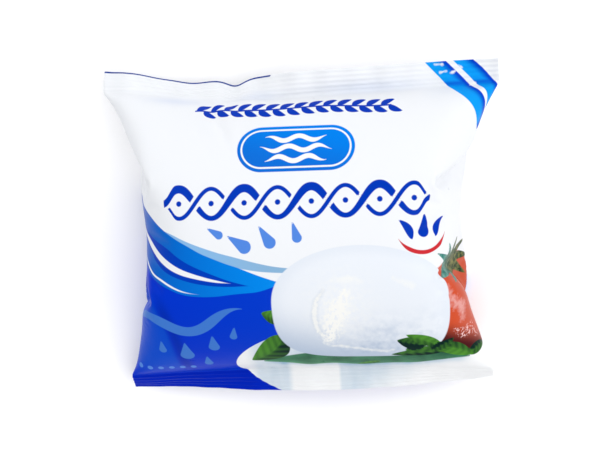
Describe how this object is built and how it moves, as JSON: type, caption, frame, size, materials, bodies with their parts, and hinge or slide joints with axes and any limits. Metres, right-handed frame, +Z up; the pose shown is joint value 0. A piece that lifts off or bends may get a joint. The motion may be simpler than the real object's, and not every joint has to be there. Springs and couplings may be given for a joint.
{
  "type": "sealed pouch of mozzarella",
  "caption": "Sealed pillow pouch of soft cheese in liquid, lying on its back, with crimped top and bottom seals.",
  "frame": {"origin": "middle of the bounding box's bottom face, on the surface that the pouch lies on", "axes": "+X across the pouch, to the right as its front is read; +Y from the bottom seal to the top seal; +Z up, out of the printed front"},
  "size_m": [0.1238, 0.105, 0.035],
  "materials": {
    "printed_film": "glossy white film with blue printed fields"
  },
  "bodies": {
    "root": {"pouch": "printed_film"}
  },
  "joints": []
}
